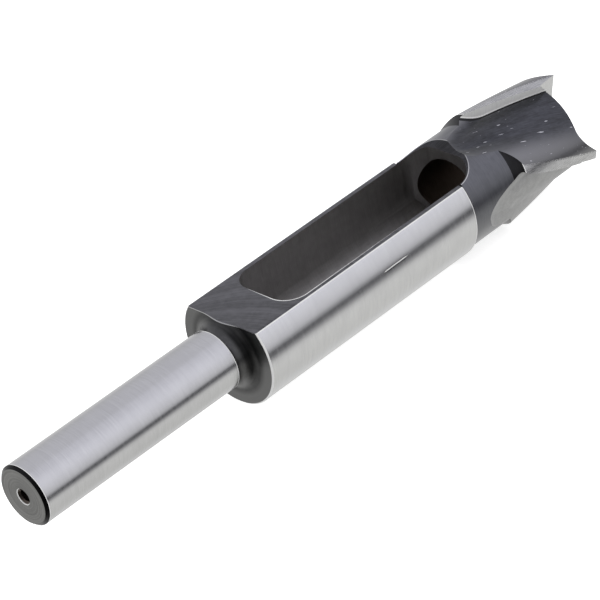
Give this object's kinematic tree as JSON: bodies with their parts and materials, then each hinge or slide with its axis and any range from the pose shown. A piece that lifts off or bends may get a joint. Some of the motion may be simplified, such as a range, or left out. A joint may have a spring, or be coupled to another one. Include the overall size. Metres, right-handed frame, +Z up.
{
  "type": "plug cutter",
  "caption": "Steel plug cutter: straight round shank, barrel with a milled flat and an open ejection window, and a bored head with helical cutting teeth.",
  "frame": {"origin": "bottom centre of the tool as it lies on its side, flat up", "axes": "+X along the tool's axis from the shank to the teeth, +Z up, out of the milled flat"},
  "size_m": [0.1494, 0.0254, 0.0254],
  "materials": {
    "ground_steel": "ground"
  },
  "bodies": {
    "root": {"plug_cutter": "ground_steel"}
  },
  "joints": []
}
